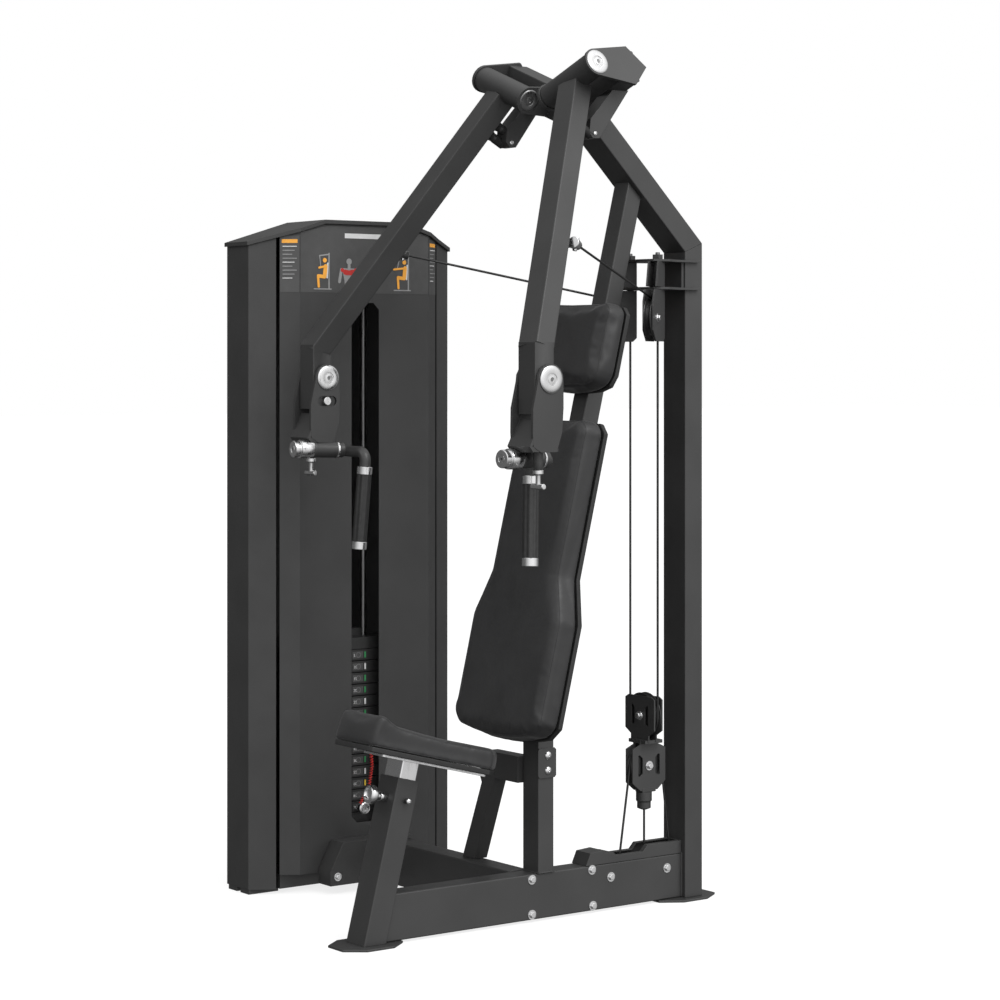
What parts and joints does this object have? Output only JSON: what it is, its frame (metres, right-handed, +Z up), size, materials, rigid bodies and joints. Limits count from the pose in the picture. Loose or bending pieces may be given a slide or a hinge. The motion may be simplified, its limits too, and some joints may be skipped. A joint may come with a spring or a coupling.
{
  "type": "chest press machine",
  "caption": "Selectorised chest press gym machine: hanging converging press arms, leaning back pads, telescoping seat and a cased weight stack driven by cables over pulleys.",
  "frame": {"origin": "on the floor under the foot of the front leg, on the user's centre plane", "axes": "+Z up, +Y from the user towards the rear column, +X to the user's left; the weight tower stands at -X"},
  "size_m": [1.329, 1.172, 2.1912],
  "materials": {
    "frame_paint": "charcoal black powder coat, fine texture",
    "panel_paint": "charcoal black powder coat, fine texture",
    "leather": "black artificial leather, fine grain, stretched over foam",
    "chrome": "bright chrome plating",
    "rubber": "black, matt",
    "pulley_plastic": "black moulded nylon",
    "cable": "black plastic coating over wire rope",
    "weight": "black satin paint"
  },
  "bodies": {
    "frame": {"front_foot_plate": "frame_paint", "front_leg": "frame_paint", "main_beam": "frame_paint", "cross_beam": "frame_paint", "rear_foot_plate": "frame_paint", "column": "frame_paint", "boom": "frame_paint", "cable_guard": "frame_paint", "seat_post": "frame_paint", "seat_brace": "frame_paint", "back_post": "frame_paint", "back_pad": "leather", "headrest_pad": "leather", "left_head_bracket": "frame_paint", "right_head_bracket": "frame_paint", "left_pivot_shaft": "chrome", "right_pivot_shaft": "chrome", "pulley_bracket": "frame_paint", "tower_base": "frame_paint", "tower_casing": "panel_paint", "tower_shroud": "panel_paint", "tower_cap": "panel_paint", "tower_foot_cover": "panel_paint", "guide_rods": "chrome", "lift_cable": "cable"},
    "stack": {"weight_plates": "weight", "stack_head": "weight", "pin_lanyard": "cable"},
    "block": {"block_frame": "frame_paint", "block_cable": "cable"},
    "left_arm_body": {"left_arm": "frame_paint", "left_clevis_pin": "chrome", "left_arm_cable": "cable"},
    "left_bracket": {"left_clevis": "frame_paint"},
    "left_handle_body": {"left_handle": "chrome", "left_grip": "rubber"},
    "left_lock": {"left_lock_pin": "chrome"},
    "left_swivel": {"left_pulley_swivel": "frame_paint"},
    "left_pulley": {"left_upper_pulley": "pulley_plastic"},
    "right_arm_body": {"right_arm": "frame_paint", "right_clevis_pin": "chrome", "right_arm_cable": "cable"},
    "right_bracket": {"right_clevis": "frame_paint"},
    "right_handle_body": {"right_handle": "chrome", "right_grip": "rubber"},
    "right_lock": {"right_lock_pin": "chrome"},
    "right_swivel": {"right_pulley_swivel": "frame_paint"},
    "right_pulley": {"right_upper_pulley": "pulley_plastic"},
    "upper_sheave": {"upper_block_pulley": "pulley_plastic"},
    "lower_sheave": {"lower_block_pulley": "pulley_plastic"},
    "front_base_sheave": {"front_base_pulley": "pulley_plastic"},
    "rear_base_sheave": {"rear_base_pulley": "pulley_plastic"},
    "corner_sheave": {"corner_pulley": "pulley_plastic"},
    "foot_sheave": {"foot_pulley": "pulley_plastic"},
    "top_sheave": {"top_pulley": "pulley_plastic"},
    "cable_swivel": {"block_swivel": "frame_paint"},
    "selector": {"selector_pin": "chrome"},
    "seat": {"seat_tube": "chrome", "seat_pad": "leather"},
    "seat_pin": {"seat_pull_pin": "chrome"}
  },
  "joints": [
    {"name": "stack_lift", "type": "slide", "parent": "frame", "child": "stack", "axis": [0, 0, 1], "range_m": [0, 0.706], "deforming": ["lift_cable"]},
    {"name": "block_lift", "type": "slide", "parent": "frame", "child": "block", "axis": [0, 0, 1], "range_m": [0, 0.236], "deforming": ["block_cable"]},
    {"name": "left_press", "type": "hinge", "parent": "frame", "child": "left_arm_body", "pos_m": [0, 0.557, 2.0548], "axis": [-0.9361, 0, -0.3518], "range_deg": [0, 35], "deforming": ["left_arm_cable"]},
    {"name": "left_tilt", "type": "hinge", "parent": "left_arm_body", "child": "left_bracket", "pos_m": [0.4725, 0.2, 1.366], "axis": [1, 0, 0], "range_deg": [-13, 13]},
    {"name": "left_handle_turn", "type": "hinge", "parent": "left_bracket", "child": "left_handle_body", "pos_m": [0.451, 0.107, 1.184], "axis": [-0.1109, 0.9934, -0.03], "range_deg": [0, 90]},
    {"name": "left_lock_pull", "type": "slide", "parent": "left_bracket", "child": "left_lock", "axis": [0, 0, -1], "range_m": [0, 0.012], "stiffness_N_per_m": 600, "springref_m": -0.012},
    {"name": "left_swivel_turn", "type": "hinge", "parent": "frame", "child": "left_swivel", "pos_m": [0.056, 0.9005, 1.52], "axis": [0, 0, 1], "range_deg": [-13.5, 0]},
    {"name": "left_pulley_spin", "type": "hinge", "parent": "left_swivel", "child": "left_pulley", "pos_m": [0.084, 0.859, 1.52], "axis": [-0.829, -0.5593, 0], "continuous": true},
    {"name": "right_press", "type": "hinge", "parent": "frame", "child": "right_arm_body", "pos_m": [0, 0.557, 2.0548], "axis": [-0.9361, 0, 0.3518], "range_deg": [0, 35], "deforming": ["right_arm_cable"]},
    {"name": "right_tilt", "type": "hinge", "parent": "right_arm_body", "child": "right_bracket", "pos_m": [-0.4725, 0.2, 1.366], "axis": [1, 0, 0], "range_deg": [-13, 13]},
    {"name": "right_handle_turn", "type": "hinge", "parent": "right_bracket", "child": "right_handle_body", "pos_m": [-0.451, 0.107, 1.184], "axis": [-0.1109, -0.9934, 0.03], "range_deg": [0, 90]},
    {"name": "right_lock_pull", "type": "slide", "parent": "right_bracket", "child": "right_lock", "axis": [0, 0, -1], "range_m": [0, 0.012], "stiffness_N_per_m": 600, "springref_m": -0.012},
    {"name": "right_swivel_turn", "type": "hinge", "parent": "frame", "child": "right_swivel", "pos_m": [-0.056, 0.9005, 1.52], "axis": [0, 0, 1], "range_deg": [0, 13.5]},
    {"name": "right_pulley_spin", "type": "hinge", "parent": "right_swivel", "child": "right_pulley", "pos_m": [-0.084, 0.859, 1.52], "axis": [-0.829, 0.5593, 0], "continuous": true},
    {"name": "upper_sheave_spin", "type": "hinge", "parent": "block", "child": "upper_sheave", "pos_m": [0, 0.9005, 0.487], "axis": [0, 1, 0], "continuous": true},
    {"name": "lower_sheave_spin", "type": "hinge", "parent": "block", "child": "lower_sheave", "pos_m": [0, 0.906, 0.357], "axis": [1, 0, 0], "continuous": true},
    {"name": "front_base_sheave_spin", "type": "hinge", "parent": "frame", "child": "front_base_sheave", "pos_m": [0, 0.766, 0.088], "axis": [1, 0, 0], "continuous": true},
    {"name": "rear_base_sheave_spin", "type": "hinge", "parent": "frame", "child": "rear_base_sheave", "pos_m": [0, 0.947, 0.088], "axis": [1, 0, 0], "continuous": true},
    {"name": "corner_sheave_spin", "type": "hinge", "parent": "frame", "child": "corner_sheave", "pos_m": [-0.018, 0.526, 0.042], "axis": [0, 0, 1], "continuous": true},
    {"name": "foot_sheave_spin", "type": "hinge", "parent": "frame", "child": "foot_sheave", "pos_m": [-0.74, 0.518, 0.082], "axis": [0, 1, 0], "continuous": true},
    {"name": "top_sheave_spin", "type": "hinge", "parent": "frame", "child": "top_sheave", "pos_m": [-0.74, 0.4425, 1.66], "axis": [0, 1, 0], "continuous": true},
    {"name": "cable_swivel_turn", "type": "hinge", "parent": "block", "child": "cable_swivel", "pos_m": [0, 0.901, 0.2885], "axis": [0, 0, 1], "continuous": true},
    {"name": "pin_pull", "type": "slide", "parent": "stack", "child": "selector", "axis": [1, 0, 0], "range_m": [0, 0.075], "deforming": ["pin_lanyard"]},
    {"name": "seat_slide", "type": "slide", "parent": "frame", "child": "seat", "axis": [0, 0.2453, 0.9694], "range_m": [0, 0.14]},
    {"name": "seat_pin_pull", "type": "slide", "parent": "frame", "child": "seat_pin", "axis": [0, -0.9694, 0.2453], "range_m": [0, 0.012], "stiffness_N_per_m": 600, "springref_m": -0.015}
  ],
  "couplings": [
    {"joint": "block_lift", "follows": "stack_lift", "ratio": 0.33333},
    {"joint": "left_press", "follows": "stack_lift", "rad_per_m": 0.8641},
    {"joint": "left_swivel_turn", "follows": "stack_lift", "rad_per_m": -0.3266},
    {"joint": "right_press", "follows": "stack_lift", "rad_per_m": 0.8641},
    {"joint": "right_swivel_turn", "follows": "stack_lift", "rad_per_m": 0.3266}
  ]
}
